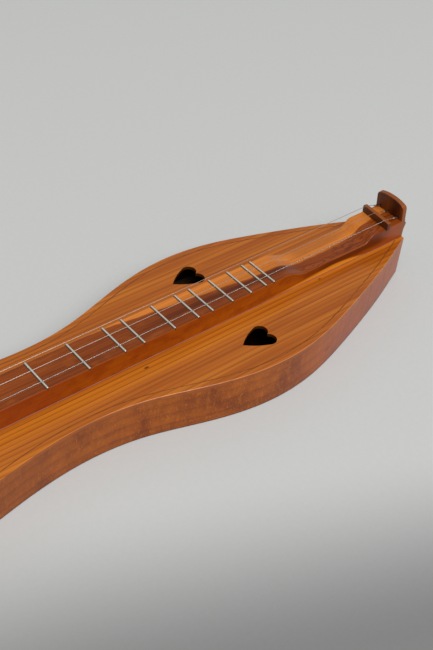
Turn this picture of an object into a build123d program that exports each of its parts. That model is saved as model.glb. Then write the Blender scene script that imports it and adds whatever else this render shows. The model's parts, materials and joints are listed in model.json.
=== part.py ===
from build123d import *
import math
import os

# Three-string fretted zither (mountain dulcimer) with an hourglass body.
# Millimetres. +X runs from the head to the tail, +Y is the player's far side,
# +Z is up. The origin is the middle of the underside of the back.

# ---- driving dimensions -----------------------------------------------------
SCALE = 711.2            # string length that the frets are laid out for
BRIDGE_X = 418.0         # line that the frets are laid out from
NUT_X = BRIDGE_X - SCALE
OVERALL = 899.3          # scroll tip to the balls on the string ends
TAIL_X = BRIDGE_X + 29.65
HEAD_X = NUT_X - 5.0     # end of the body, where the pegbox begins
PLATE_T = 5.0            # end plate thickness
BODY_DEPTH = 40.4
BOARD_T = 3.0            # soundboard and back
SIDE_T = 2.4
LINING_W = 6.0
LINING_H = 7.0
FRETBOARD_W = 32.4
FRETBOARD_H = 18.6
FRETBOARD_TOP = BODY_DEPTH + FRETBOARD_H
FRET_CROWN_H = 1.0
FRET_CROWN_W = 2.1
FRET_TANG_W = 0.6
FRET_TANG_H = 2.0
FRET_PLANE = FRETBOARD_TOP + FRET_CROWN_H

# Half of the body outline: distance from the bridge line, half width.
HALF_OUTLINE = [
    (-716.2, 17.5),
    (-655.0, 38.5),
    (-575.0, 64.5),
    (-500.0, 71.5),
    (-420.0, 57.3),
    (-345.0, 47.6),
    (-290.0, 53.3),
    (-250.0, 65.2),
    (-210.0, 75.7),
    (-173.0, 79.5),
    (-130.0, 75.2),
    (-90.0, 64.3),
    (-50.0, 50.8),
    (-10.0, 35.7),
    (29.65, 18.6),
]
OUTLINE_RUN_ON = 14.0    # straight run past each end, trimmed off again
INSET_STEPS = 40         # points that carry an inset copy of the outline
EDGE_R = 0.8             # rounded arris of the soundboard and the back

# Purfling: a thin dark line let into the soundboard
PURFLING_IN = 5.4
PURFLING_W = 0.8
PURFLING_DEPTH = 1.0

# Heart sound holes: tip towards the head
HEART_LOBE_R = 6.5
HEART_LOBE_U = 22.8
HEART_LOBE_V = 5.8
HEART_SIDE_U = 9.0
HEART_SIDE_V = 6.6
HEART_TURN = 108.0       # where the side meets the lobe, degrees round it
HEART_TILT = 1.8
HEARTS = {"lower": (-190.9, 46.6), "upper": (-514.0, 40.0)}

# Blocks and braces
TAIL_BLOCK_L = 26.0
HEAD_BLOCK_L = 30.0
BRACE_W = 7.0
BRACE_H = 9.0
BRACE_END_H = 3.5
TOP_BRACE_X = [-560.0, -345.0, -95.0]
BACK_BRACE_X = [-590.0, -440.0, -250.0, -80.0]
STRIP_W = 18.0
STRIP_T = 2.4

# Frets 1 to 17: string length divided by each ratio, with the maker's small
# hand-set departures from the exact place added for the upper frets
FIRST_OCTAVE = [9 / 8, 5 / 4, 4 / 3, 3 / 2, 5 / 3, 9 / 5, 2]
SECOND_OCTAVE = [2 * ratio for ratio in FIRST_OCTAVE]
FRET_RATIOS = FIRST_OCTAVE + SECOND_OCTAVE + [4 * ratio for ratio in FIRST_OCTAVE[:3]]
FRET_SHIFT = {7: 1.8, 8: -1.2, 13: -1.3, 16: 0.6, 17: 0.7}

# Strum hollow, from the bridge line and from the fretboard's top
HOLLOW = [(-119.0, 0.0), (-93.0, -6.7), (-24.0, -6.9), (-10.0, 0.0)]
FRETBOARD_EDGE_R = 0.9

# Nut, bridge, end plate
NUT_T = 5.0
NUT_BED = 4.0            # how deep the nut sits below the fretboard's top
NUT_STRING_Z = FRET_PLANE + 2.6
BRIDGE_T = 3.6
BRIDGE_W = 34.9
BRIDGE_Y = -0.9          # it overhangs the board a little more on the near side
BRIDGE_BACK = 5.7        # middle of the bridge, past the fret layout's end
BRIDGE_SLANT = -5.3      # degrees; the far end stands nearer the tail
BRIDGE_TOP = FRET_PLANE + 6.4
BRIDGE_STRING_Z = FRET_PLANE + 6.2
NOTCH_R = 1.6            # bend of a string over the nut or the bridge
PLATE_W = 32.8
PLATE_Y = 0.9            # the plate stands a little to the far side
PLATE_TOP = FRET_PLANE + 17.6
PLATE_SHOULDER_R = 4.5
PLATE_ARCH = 3.4
PLATE_RAKE = 6.0         # degrees that the crest leans towards the head
PLATE_EDGE_R = 0.7
# Moulding on the outer face: height above the soundboard, how far out
PLATE_MOULDING = [(16.7, 0.0), (15.2, 1.7), (13.2, 1.7), (8.0, 0.2), (0.0, 0.0)]

# Strings: name, y at the nut, the bridge and the end plate, radius, peg
STRINGS = [
    ("bass", -12.4, -12.05, -9.9, 0.30, 1),
    ("middle", 1.9, 1.45, 1.9, 0.20, 3),
    ("melody", 13.4, 13.55, 12.7, 0.20, 2),
]
HOLE_Z = FRETBOARD_TOP + 1.6
HOLE_R = 1.0
TWIST_L = 8.0            # twisted end of a string, ahead of the plate
TWIST_R = 0.55
BALL_R = 1.9
BALL_GROOVE_R = 1.1
BALL_H = 3.4
BALL_SEAT_R = 2.8
BALL_SEAT_DEPTH = 1.8    # the balls sit in counterbores in the outer face

# Pegbox and scroll
PEGBOX_HALF_W = 17.5
PEGBOX_END_HALF_W = 14.0
SLOT_HALF_W = 11.0
SLOT_END_HALF_W = 8.5
SLOT_X0 = HEAD_X - 6.0
SLOT_X1 = HEAD_X - 96.0
SLOT_FLOOR = 22.0
END_WALL_TOP = 50.0
CHEEK_TOP = 56.0
CHEEK_LOW = 52.0
SCROLL_R = 25.0
SCROLL_Z = 38.0
SCROLL_HALF_W = 10.5
SCROLL_STEPS = [(17.5, 12.5), (10.5, 14.5), (4.5, 16.5)]

# Tuning pegs, numbered from the nut; side is where the thumb piece stands
PEG_X = {1: NUT_X - 33.0, 2: NUT_X - 59.0, 3: NUT_X - 85.0}
PEG_SIDE = {1: -1, 2: 1, 3: -1}
PEG_Z = 41.0
PEG_R_BIG = 4.6          # shaft radius at the collar
PEG_TAPER = 1 / 60       # change of radius along the shaft
PEG_CLEARANCE = 0.05
PEG_COLLAR_R = 6.8
PEG_COLLAR_L = 3.0
PEG_COLLAR_GAP = 4.0     # collar stands off the cheek, as on a tapered peg
PEG_NECK_L = 7.0
PEG_THUMB_R = 12.0
PEG_THUMB_T = 5.6
PEG_TIP_OUT = 3.0
WINDING_TURNS = 5
WINDING_GAP = 0.12

TINY = 0.01


def at(x):
    """Turn a distance from the bridge line into a row position."""
    return BRIDGE_X + x


def cylinder_between(start, end, radius):
    """A round bar from one point to another."""
    along = Vector(*end) - Vector(*start)
    plane = Plane(origin=start, z_dir=along)
    return extrude(plane * Circle(radius), amount=along.length)


def slab(x0, x1, y0, y1, z0, z1):
    """A box from its lowest corner to its highest."""
    size = Box(x1 - x0, y1 - y0, z1 - z0)
    return Pos((x0 + x1) / 2, (y0 + y1) / 2, (z0 + z1) / 2) * size


# ---- body outline -----------------------------------------------------------
HEAD_SLOPE = (1.0, 0.40)
TAIL_SLOPE = (1.0, -0.44)
EDGE_CURVE = Spline(*[(at(x), half) for x, half in HALF_OUTLINE], tangents=(HEAD_SLOPE, TAIL_SLOPE))


def edge_inset(inset):
    """The far edge of the hourglass, drawn in square to itself by inset."""
    if inset == 0:
        return EDGE_CURVE
    points = []
    for step in range(INSET_STEPS + 1):
        place = EDGE_CURVE @ (step / INSET_STEPS)
        along = EDGE_CURVE % (step / INSET_STEPS)
        points.append((place.X + along.Y * inset, place.Y - along.X * inset))
    return Spline(*points, tangents=(HEAD_SLOPE, TAIL_SLOPE))


def inside(inset, x0=HEAD_X, x1=TAIL_X):
    """The outline drawn in by inset, cut square at x0 and x1."""
    far = edge_inset(inset)
    head = (far @ 0) - Vector(*HEAD_SLOPE) * OUTLINE_RUN_ON
    tail = (far @ 1) + Vector(*TAIL_SLOPE) * OUTLINE_RUN_ON
    edges = [Line(head, far @ 0), far, Line(far @ 1, tail)]
    edges += [edge.mirror(Plane.XZ) for edge in edges]
    edges.append(Line(head, (head.X, -head.Y)))
    edges.append(Line(tail, (tail.X, -tail.Y)))
    window = Pos((x0 + x1) / 2, 0) * Rectangle(x1 - x0, 400)
    return make_face(edges) & window


def raised(face, z0, z1):
    """Extrude a flat face between two heights."""
    return Pos(0, 0, z0) * extrude(face, amount=z1 - z0)


def halves(shape):
    """Split a shape at the centre line into its far and near halves."""
    far = shape & slab(-600, 600, 0, 300, -10, 120)
    near = shape & slab(-600, 600, -300, 0, -10, 120)
    return {"far": far, "near": near}


def heart(x, y):
    """Heart face with its tip at x, y, turned a little off the centre line."""
    angle = math.radians(HEART_TURN)
    join_u = HEART_LOBE_U + HEART_LOBE_R * math.cos(angle)
    join_v = HEART_LOBE_V + HEART_LOBE_R * math.sin(angle)
    join = (join_u, join_v)
    crown = (HEART_LOBE_U + HEART_LOBE_R, HEART_LOBE_V)
    notch = (HEART_LOBE_U + math.sqrt(HEART_LOBE_R**2 - HEART_LOBE_V**2), 0)
    side = ThreePointArc((0, 0), (HEART_SIDE_U, HEART_SIDE_V), join)
    lobe = ThreePointArc(join, crown, notch)
    edges = [side, lobe, side.mirror(Plane.XZ), lobe.mirror(Plane.XZ)]
    return Pos(x, y) * Rot(0, 0, HEART_TILT) * make_face(edges)


def fret_distance(number):
    """Distance of a fret from the bridge line, along X."""
    return -SCALE / FRET_RATIOS[number - 1] + FRET_SHIFT.get(number, 0.0)


# ---- body -------------------------------------------------------------------
def purfling():
    line = inside(PURFLING_IN) - inside(PURFLING_IN + PURFLING_W)
    return halves(raised(line, BODY_DEPTH - PURFLING_DEPTH, BODY_DEPTH))


def rounded_edge(plate, z):
    """Round the long curved arris of a plate at height z."""
    edges = plate.edges().filter_by(GeomType.BSPLINE)
    edges = [edge for edge in edges if abs(edge.center().Z - z) < TINY]
    return fillet(edges, EDGE_R)


def soundboard():
    plate = raised(inside(0), BODY_DEPTH - BOARD_T, BODY_DEPTH)
    plate = rounded_edge(plate, BODY_DEPTH)
    for x, y in HEARTS.values():
        hole = raised(heart(at(x), y), 0, BODY_DEPTH + 10)
        plate -= hole
        plate -= hole.mirror(Plane.XZ)
    for line in purfling().values():
        plate -= line
    return halves(plate)


def back():
    plate = raised(inside(0), 0, BOARD_T)
    return halves(rounded_edge(plate, 0))


def sides():
    return halves(raised(inside(0) - inside(SIDE_T), BOARD_T, BODY_DEPTH - BOARD_T))


def blocks():
    tail = raised(inside(SIDE_T, TAIL_X - TAIL_BLOCK_L, TAIL_X), BOARD_T, BODY_DEPTH - BOARD_T)
    head = raised(inside(SIDE_T, HEAD_X, HEAD_X + HEAD_BLOCK_L), BOARD_T, BODY_DEPTH - BOARD_T)
    return tail, head


def linings():
    x0 = HEAD_X + HEAD_BLOCK_L
    x1 = TAIL_X - TAIL_BLOCK_L
    ring = inside(SIDE_T, x0, x1) - inside(SIDE_T + LINING_W, x0, x1)
    upper = halves(raised(ring, BODY_DEPTH - BOARD_T - LINING_H, BODY_DEPTH - BOARD_T))
    lower = halves(raised(ring, BOARD_T, BOARD_T + LINING_H))
    return upper, lower


def brace(x, glued_z, direction):
    """A bar across the body, shallower at its ends; direction is +1 for the back."""
    x0 = at(x) - BRACE_W / 2
    x1 = at(x) + BRACE_W / 2
    flat = inside(SIDE_T + LINING_W, x0, x1)
    reach = flat.bounding_box().max.Y
    shoulder = reach - 3 * BRACE_H
    profile = [
        (-reach, 0),
        (reach, 0),
        (reach, direction * BRACE_END_H),
        (shoulder, direction * BRACE_H),
        (-shoulder, direction * BRACE_H),
        (-reach, direction * BRACE_END_H),
    ]
    end_plane = Plane(origin=(x0, 0, glued_z), x_dir=(0, 1, 0), z_dir=(1, 0, 0))
    bar = extrude(end_plane * make_face(Polyline(*profile, close=True)), amount=BRACE_W)
    limit = raised(flat, 0, BODY_DEPTH)
    return bar & limit


def centre_strip():
    """Grain-crossing strip along the back joint, cut to fit between the braces."""
    stations = [HEAD_X + HEAD_BLOCK_L]
    for x in BACK_BRACE_X:
        stations += [at(x) - BRACE_W / 2, at(x) + BRACE_W / 2]
    stations.append(TAIL_X - TAIL_BLOCK_L)
    pieces = []
    for start, end in zip(stations[::2], stations[1::2]):
        pieces.append(slab(start, end, -STRIP_W / 2, STRIP_W / 2, BOARD_T, BOARD_T + STRIP_T))
    return Compound(children=pieces)


# ---- fretboard, frets, nut, bridge, end plate ---------------------------------
def fret_slot(number):
    x = at(fret_distance(number))
    half = FRETBOARD_W / 2
    bottom = FRETBOARD_TOP - FRET_TANG_H
    return slab(x - FRET_TANG_W / 2, x + FRET_TANG_W / 2, -half, half, bottom, FRETBOARD_TOP)


def fret(number):
    """Fret wire: a round crown on a thin tang, with its ends dressed back."""
    x = at(fret_distance(number))
    half = FRETBOARD_W / 2
    upper_half = Pos(0, FRET_CROWN_H / 2) * Rectangle(FRET_CROWN_W, FRET_CROWN_H)
    crown = Ellipse(FRET_CROWN_W / 2, FRET_CROWN_H) & upper_half
    section = Plane(origin=(x, half, FRETBOARD_TOP), x_dir=(1, 0, 0), z_dir=(0, -1, 0)) * crown
    bar = extrude(section, amount=FRETBOARD_W)
    ends = bar.edges().filter_by(GeomType.ELLIPSE)
    return fillet(ends, 0.35) + fret_slot(number)


def fretboard():
    (entry, _), (floor_a, low_a), (floor_b, low_b), (rise, _) = HOLLOW
    end = TAIL_X - PLATE_T
    z = FRETBOARD_TOP
    slope_in = Spline((at(entry), z), (at(floor_a), z + low_a), tangents=((1, 0), (1, 0)))
    slope_out = Spline((at(floor_b), z + low_b), (at(rise), z), tangents=((1, 0), (1, 0)))
    profile = [
        Line((HEAD_X, BODY_DEPTH), (HEAD_X, z)),
        Line((HEAD_X, z), (at(entry), z)),
        slope_in,
        Line((at(floor_a), z + low_a), (at(floor_b), z + low_b)),
        slope_out,
        Line((at(rise), z), (end, z)),
        Line((end, z), (end, BODY_DEPTH)),
        Line((end, BODY_DEPTH), (HEAD_X, BODY_DEPTH)),
    ]
    section = Plane(origin=(0, FRETBOARD_W / 2, 0), x_dir=(1, 0, 0), z_dir=(0, -1, 0)) * make_face(profile)
    board = extrude(section, amount=FRETBOARD_W)
    outer = [edge for edge in board.edges() if abs(abs(edge.center().Y) - FRETBOARD_W / 2) < TINY]
    top = [edge for edge in outer if edge.center().Z > FRETBOARD_TOP - 8]
    board = fillet([edge for edge in top if edge.bounding_box().size.X > 1], FRETBOARD_EDGE_R)
    for number in range(1, len(FRET_RATIOS) + 1):
        board -= fret_slot(number)
    board -= slab(HEAD_X, HEAD_X + NUT_T, -30, 30, z - NUT_BED, z + 1)
    return board


def string_notches(shape, centre_z, wires):
    """Open a groove for each string down to where it lies."""
    x = shape.center().X
    for _, nut_y, bridge_y, _, radius, _ in STRINGS:
        y = nut_y if x < 0 else bridge_y
        shape -= slab(x - 20, x + 20, y - radius, y + radius, centre_z, centre_z + 10)
    for wire in wires:
        shape -= wire
    return shape


def nut(wires):
    z0 = FRETBOARD_TOP - NUT_BED
    half = FRETBOARD_W / 2
    blank = slab(HEAD_X, HEAD_X + NUT_T, -half, half, z0, NUT_STRING_Z + 0.6)
    top_edges = blank.edges().filter_by(Axis.Y).group_by(Axis.Z)[-1]
    return string_notches(fillet(top_edges, 1.2), NUT_STRING_Z, wires)


def bridge(wires):
    """Saddle bar standing on the fretboard, a little longer than its width."""
    half = BRIDGE_W / 2
    blank = slab(-BRIDGE_T / 2, BRIDGE_T / 2, -half, half, FRETBOARD_TOP, BRIDGE_TOP)
    blank = fillet(blank.edges().filter_by(Axis.X).group_by(Axis.Z)[-1], 1.6)
    blank = fillet(blank.edges().filter_by(Axis.Y).group_by(Axis.Z)[-1], 0.5)
    blank = Pos(BRIDGE_X + BRIDGE_BACK, 0, 0) * Rot(0, 0, BRIDGE_SLANT) * Pos(0, BRIDGE_Y, 0) * blank
    return string_notches(blank, BRIDGE_STRING_Z, wires)


def end_plate():
    """Tail plate: an arched crest raked over a straight base with a moulding."""
    half = PLATE_W / 2
    low = PLATE_TOP - PLATE_ARCH
    inner = TAIL_X - PLATE_T
    crest = make_face(
        [
            ThreePointArc((-half, low), (0, PLATE_TOP), (half, low)),
            Polyline((half, low), (half, BODY_DEPTH), (-half, BODY_DEPTH), (-half, low)),
        ]
    )
    crest = fillet(crest.vertices().group_by(Axis.Y)[-1], PLATE_SHOULDER_R)
    crest_plane = Plane(origin=(inner, PLATE_Y, 0), x_dir=(0, 1, 0), z_dir=(1, 0, 0))
    upper = extrude(crest_plane * crest, amount=PLATE_T)
    rim = [edge for edge in upper.edges() if edge.bounding_box().size.X < TINY]
    rim = [edge for edge in rim if edge.center().Z > BODY_DEPTH + TINY]
    upper = fillet(rim, PLATE_EDGE_R)
    hinge = Axis((inner + PLATE_T / 2, 0, FRETBOARD_TOP), (0, 1, 0))
    upper = upper.rotate(hinge, -PLATE_RAKE)
    upper &= slab(inner - 20, TAIL_X + 20, -60, 60, FRETBOARD_TOP, PLATE_TOP + 5)
    profile = [(inner, BODY_DEPTH), (inner, FRETBOARD_TOP), (TAIL_X, FRETBOARD_TOP)]
    profile += [(TAIL_X + out, BODY_DEPTH + up) for up, out in PLATE_MOULDING]
    side_plane = Plane(origin=(0, PLATE_Y + half, 0), x_dir=(1, 0, 0), z_dir=(0, -1, 0))
    plate = upper + extrude(side_plane * make_face(Polyline(*profile, close=True)), amount=PLATE_W)
    for _, _, _, y, _, _ in STRINGS:
        plate -= cylinder_between((inner - 3, y, HOLE_Z), (TAIL_X + 3, y, HOLE_Z), HOLE_R)
        seat = (TAIL_X - BALL_SEAT_DEPTH, y, HOLE_Z)
        plate -= cylinder_between(seat, (TAIL_X + 3, y, HOLE_Z), BALL_SEAT_R)
    return plate


def ball_ends():
    """Grooved brass balls that stop the strings behind the end plate."""
    balls = []
    for _, _, _, y, radius, _ in STRINGS:
        x = TAIL_X - BALL_SEAT_DEPTH + BALL_R
        spool = cylinder_between((x, y, HOLE_Z - BALL_H / 2), (x, y, HOLE_Z + BALL_H / 2), BALL_R)
        spool = fillet(spool.edges().filter_by(GeomType.CIRCLE), 0.4)
        groove = cylinder_between((x, y, HOLE_Z - radius), (x, y, HOLE_Z + radius), BALL_R + 1)
        core = cylinder_between((x, y, HOLE_Z - radius), (x, y, HOLE_Z + radius), BALL_GROOVE_R)
        balls.append(spool - groove + core)
    return balls


# ---- strings ----------------------------------------------------------------
def string_route(nut_y, bridge_y, plate_y, radius, peg):
    """Corners of one string, from its ball to the top of its winding."""
    loop_x = TAIL_X - BALL_SEAT_DEPTH + BALL_R - BALL_GROOVE_R - radius
    slant = math.tan(math.radians(-BRIDGE_SLANT))
    wind_y = winding_centre(peg)
    wind_top = PEG_Z + shaft_radius(peg, wind_y) + 2 * radius + WINDING_GAP + radius
    return [
        (loop_x, plate_y, HOLE_Z),
        (TAIL_X - PLATE_T, plate_y, HOLE_Z),
        (BRIDGE_X + BRIDGE_BACK + bridge_y * slant, bridge_y, BRIDGE_STRING_Z),
        (NUT_X - NUT_T / 2, nut_y, NUT_STRING_Z),
        (PEG_X[peg], wind_y, wind_top),
    ]


def strings():
    """Music wire, each one piece from its ball at the tail to its peg."""
    wires = []
    for _, nut_y, bridge_y, plate_y, radius, peg in STRINGS:
        route = string_route(nut_y, bridge_y, plate_y, radius, peg)
        path = FilletPolyline(*route, radius=[0.9, NOTCH_R, NOTCH_R])
        section = Plane(origin=path @ 0, z_dir=path % 0) * Circle(radius)
        wire = sweep(section, path=path)
        start = Vector(*route[1])
        along = (Vector(*route[2]) - start).normalized()
        twist = cylinder_between(start + along * 0.8, start + along * (0.8 + TWIST_L), TWIST_R)
        loop_x = TAIL_X - BALL_SEAT_DEPTH + BALL_R
        loop = Pos(loop_x, plate_y, HOLE_Z) * Torus(BALL_GROOVE_R + radius, radius)
        wires.append(wire + twist + loop)
    return wires


# ---- pegbox and pegs ----------------------------------------------------------
def shaft_radius(peg, y):
    """Radius of a peg's tapered shaft where it crosses y."""
    from_collar = PEGBOX_HALF_W - y * PEG_SIDE[peg]
    return PEG_R_BIG - from_collar * PEG_TAPER


def winding_centre(peg):
    """Where along the shaft the string is wound."""
    return {1: -5.0, 2: 4.5, 3: 0.5}[peg]


def peg_shaft(peg, grow):
    """Tapered round bar along Y through both cheeks."""
    side = PEG_SIDE[peg]
    start = side * (PEGBOX_HALF_W + PEG_COLLAR_GAP)
    end = -side * (PEGBOX_HALF_W + PEG_TIP_OUT)
    length = abs(start - end)
    plane = Plane(origin=(PEG_X[peg], start, PEG_Z), z_dir=(0, -side, 0))
    cone = Cone(shaft_radius(peg, start) + grow, shaft_radius(peg, end) + grow, length,
                align=(Align.CENTER, Align.CENTER, Align.MIN))
    return plane.location * cone


def pegbox():
    """Head block: two cheeks round a slot, ending in a stepped scroll."""
    tip_x = -OVERALL / 2
    scroll_x = tip_x + SCROLL_R
    neck_z = SCROLL_Z - SCROLL_R + 4
    top = Spline((HEAD_X, CHEEK_TOP), (SLOT_X1 + 8, CHEEK_LOW), (scroll_x, SCROLL_Z + SCROLL_R),
                 tangents=((-1, 0), (-1, 0)))
    under = Spline((scroll_x, SCROLL_Z - SCROLL_R), (SLOT_X1 + 20, neck_z), (HEAD_X, 2.0),
                   tangents=((1, 0), (1, -0.35)))
    nose = ThreePointArc((scroll_x, SCROLL_Z + SCROLL_R), (tip_x, SCROLL_Z), (scroll_x, SCROLL_Z - SCROLL_R))
    side_face = make_face([top, nose, under, Line((HEAD_X, 2.0), (HEAD_X, CHEEK_TOP))])
    section = Plane(origin=(0, 60, 0), x_dir=(1, 0, 0), z_dir=(0, -1, 0)) * side_face
    block = extrude(section, amount=120)
    neck_x = SLOT_X1 - 4
    plan = [
        (HEAD_X, PEGBOX_HALF_W),
        (neck_x, PEGBOX_END_HALF_W),
        (neck_x - 10, SCROLL_HALF_W),
        (tip_x - 5, SCROLL_HALF_W),
    ]
    plan += [(x, -y) for x, y in reversed(plan)]
    block &= raised(make_face(Polyline(*plan, close=True)), 0, 80)
    for radius, half in SCROLL_STEPS:
        block += cylinder_between((scroll_x, -half, SCROLL_Z), (scroll_x, half, SCROLL_Z), radius)
    slot = [
        (SLOT_X0, SLOT_HALF_W),
        (SLOT_X1, SLOT_END_HALF_W),
        (SLOT_X1, -SLOT_END_HALF_W),
        (SLOT_X0, -SLOT_HALF_W),
    ]
    block -= raised(make_face(Polyline(*slot, close=True)), SLOT_FLOOR, 80)
    block -= slab(SLOT_X0 - 1, HEAD_X + 1, -SLOT_HALF_W, SLOT_HALF_W, END_WALL_TOP, 80)
    for peg in PEG_X:
        block -= peg_shaft(peg, PEG_CLEARANCE)
    return block


def peg(number):
    """Tuning peg: tapered shaft, turned collar and neck, flat thumb piece."""
    side = PEG_SIDE[number]
    x = PEG_X[number]
    collar_y = side * (PEGBOX_HALF_W + PEG_COLLAR_GAP)
    neck_y = collar_y + side * PEG_COLLAR_L
    thumb_y = neck_y + side * (PEG_NECK_L + PEG_THUMB_R - 3)
    collar = cylinder_between((x, collar_y, PEG_Z), (x, neck_y, PEG_Z), PEG_COLLAR_R)
    collar = fillet(collar.edges().filter_by(GeomType.CIRCLE), 1.0)
    plane = Plane(origin=(x, neck_y, PEG_Z), z_dir=(0, side, 0))
    neck = plane.location * Cone(4.4, 2.9, PEG_NECK_L + 2, align=(Align.CENTER, Align.CENTER, Align.MIN))
    thumb_near = (x - PEG_THUMB_T / 2, thumb_y, PEG_Z)
    thumb_far = (x + PEG_THUMB_T / 2, thumb_y, PEG_Z)
    thumb = cylinder_between(thumb_near, thumb_far, PEG_THUMB_R)
    thumb = fillet(thumb.edges().filter_by(GeomType.CIRCLE), 2.0)
    return peg_shaft(number, 0) + collar + neck + thumb


def winding(number, radius):
    """The turns of string on a peg, as one close-wound sleeve."""
    y = winding_centre(number)
    half = WINDING_TURNS * radius
    outer = shaft_radius(number, y) + 2 * radius
    sleeve = cylinder_between((PEG_X[number], y - half, PEG_Z), (PEG_X[number], y + half, PEG_Z), outer)
    return sleeve - peg_shaft(number, 0)


# ---- everything, by node name ---------------------------------------------------
def model():
    nodes = {}
    upper_linings, lower_linings = linings()
    pairs = {
        "soundboard": soundboard(),
        "back": back(),
        "side": sides(),
        "purfling": purfling(),
        "lining_top": upper_linings,
        "lining_back": lower_linings,
    }
    for name, pair in pairs.items():
        for side, shape in pair.items():
            nodes[f"{name}_{side}"] = shape
    nodes["tail_block"], nodes["head_block"] = blocks()
    for index, x in enumerate(TOP_BRACE_X, start=1):
        nodes[f"top_brace_{index}"] = brace(x, BODY_DEPTH - BOARD_T, -1)
    for index, x in enumerate(BACK_BRACE_X, start=1):
        nodes[f"back_brace_{index}"] = brace(x, BOARD_T, 1)
    nodes["back_centre_strip"] = centre_strip()
    nodes["fretboard"] = fretboard()
    for number in range(1, len(FRET_RATIOS) + 1):
        nodes[f"fret_{number:02d}"] = fret(number)
    wires = strings()
    nodes["nut"] = nut(wires)
    nodes["bridge"] = bridge(wires)
    nodes["end_plate"] = end_plate()
    nodes["pegbox"] = pegbox()
    for (name, _, _, _, radius, peg_number), ball, wire in zip(STRINGS, ball_ends(), wires):
        nodes[f"ball_end_{name}"] = ball
        nodes[f"string_{name}"] = wire
        nodes[f"peg_{name}"] = peg(peg_number)
        nodes[f"winding_{name}"] = winding(peg_number, radius)
    return nodes


os.makedirs("parts", exist_ok=True)
for node, shape in model().items():
    export_step(shape, f"parts/{node}.step")
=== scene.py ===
# %% [markdown]
# # A mountain dulcimer, finished in Blender
# The shape of the instrument is already settled: a frame holds every piece of wood and wire at its
# real place, in metres, with +X from head to tail, +Y away from the player and +Z up. What is left is
# the work of a finisher: to choose the timber, the varnish and the light, and to add the small things
# that are too fine for the frame, such as turns of wire on a peg. The frame is loaded first, because
# every position below is read from it instead of being typed in.

# %% Load the frame
import bpy
import json
import math
from mathutils import Matrix, Vector

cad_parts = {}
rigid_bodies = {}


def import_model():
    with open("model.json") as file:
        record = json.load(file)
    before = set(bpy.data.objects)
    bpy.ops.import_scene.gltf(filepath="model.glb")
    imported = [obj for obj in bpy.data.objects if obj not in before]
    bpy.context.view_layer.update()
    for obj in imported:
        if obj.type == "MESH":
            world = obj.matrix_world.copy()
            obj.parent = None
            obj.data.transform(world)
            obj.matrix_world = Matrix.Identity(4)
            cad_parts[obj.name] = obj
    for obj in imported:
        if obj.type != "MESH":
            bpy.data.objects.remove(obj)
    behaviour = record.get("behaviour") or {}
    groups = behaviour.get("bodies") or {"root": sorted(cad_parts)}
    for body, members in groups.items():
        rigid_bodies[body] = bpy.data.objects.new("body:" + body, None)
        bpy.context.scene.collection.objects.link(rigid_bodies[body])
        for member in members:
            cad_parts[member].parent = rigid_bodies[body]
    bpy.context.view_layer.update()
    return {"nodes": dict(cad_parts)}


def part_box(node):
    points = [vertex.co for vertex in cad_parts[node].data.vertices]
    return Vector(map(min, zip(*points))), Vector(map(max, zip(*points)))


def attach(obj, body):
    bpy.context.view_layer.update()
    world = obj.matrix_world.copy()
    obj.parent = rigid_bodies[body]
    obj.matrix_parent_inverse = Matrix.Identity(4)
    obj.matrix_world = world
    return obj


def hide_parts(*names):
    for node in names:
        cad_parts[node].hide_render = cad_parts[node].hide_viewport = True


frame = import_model()

# %% [markdown]
# A maker marks a few lines on the bench before anything else. Ours are the top of the soundboard, the
# top and sides of the fretboard, the end of the body and the line of the bridge. They all come from
# the boxes of the frame's nodes, so they follow if the frame changes.

# %% Marking-out lines
BOARD_LOW, BOARD_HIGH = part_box("soundboard_near")
FRET_LOW, FRET_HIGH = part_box("fretboard")
BRIDGE_LOW, BRIDGE_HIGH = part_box("bridge")
PLATE_INNER_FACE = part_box("end_plate")[0][0]

MM = 0.001
BOARD_TOP = BOARD_HIGH[2]
FRETBOARD_TOP = FRET_HIGH[2]
FRETBOARD_HALF = FRET_HIGH[1]
BODY_HEAD = BOARD_LOW[0]
BODY_TAIL = BOARD_HIGH[0]
BRIDGE_LINE = (BRIDGE_LOW[0] + BRIDGE_HIGH[0]) / 2
PLATE_THICKNESS = 5.0 * MM
PLATE_RAKE = math.radians(6.0)
print("soundboard top", round(BOARD_TOP, 4), "fretboard top", round(FRETBOARD_TOP, 4))
print("bridge line", round(BRIDGE_LINE, 4), "body from", round(BODY_HEAD, 4), "to", round(BODY_TAIL, 4))

# %% [markdown]
# ## Shader maths written as sums
# A wood shader is mostly arithmetic on the position of a point: how far across the grain, how far
# along it, how near a joint. Written node by node that arithmetic is hard to read. So one small class
# wraps an output socket and gives it the usual operators, and each operator adds one Math node. The
# bench below holds one material's tree, and its single method makes any other node: settings first,
# because they can change which sockets exist, then the values and links.

# %% A wrapped socket and a material bench
class Signal:
    def __init__(self, bench, socket):
        self.bench = bench
        self.socket = socket

    def math(self, operation, *others, clamp=False):
        settings = {"operation": operation, "use_clamp": clamp}
        return self.bench.node("ShaderNodeMath", settings, dict(enumerate((self, *others))))

    def __add__(self, other): return self.math("ADD", other)
    def __sub__(self, other): return self.math("SUBTRACT", other)
    def __mul__(self, other): return self.math("MULTIPLY", other)
    def __pow__(self, other): return self.math("POWER", other)
    def __neg__(self): return self.math("MULTIPLY", -1.0)
    def __radd__(self, other): return self.math("ADD", other)
    def __rmul__(self, other): return self.math("MULTIPLY", other)
    def __rsub__(self, other): return (-self) + other
    def __abs__(self): return self.math("ABSOLUTE")
    def clamp(self): return self.math("ADD", 0.0, clamp=True)
    def above(self, edge, soft): return self.bench.step(self, edge - soft, edge + soft)
    def below(self, edge, soft): return 1 - self.above(edge, soft)


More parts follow.
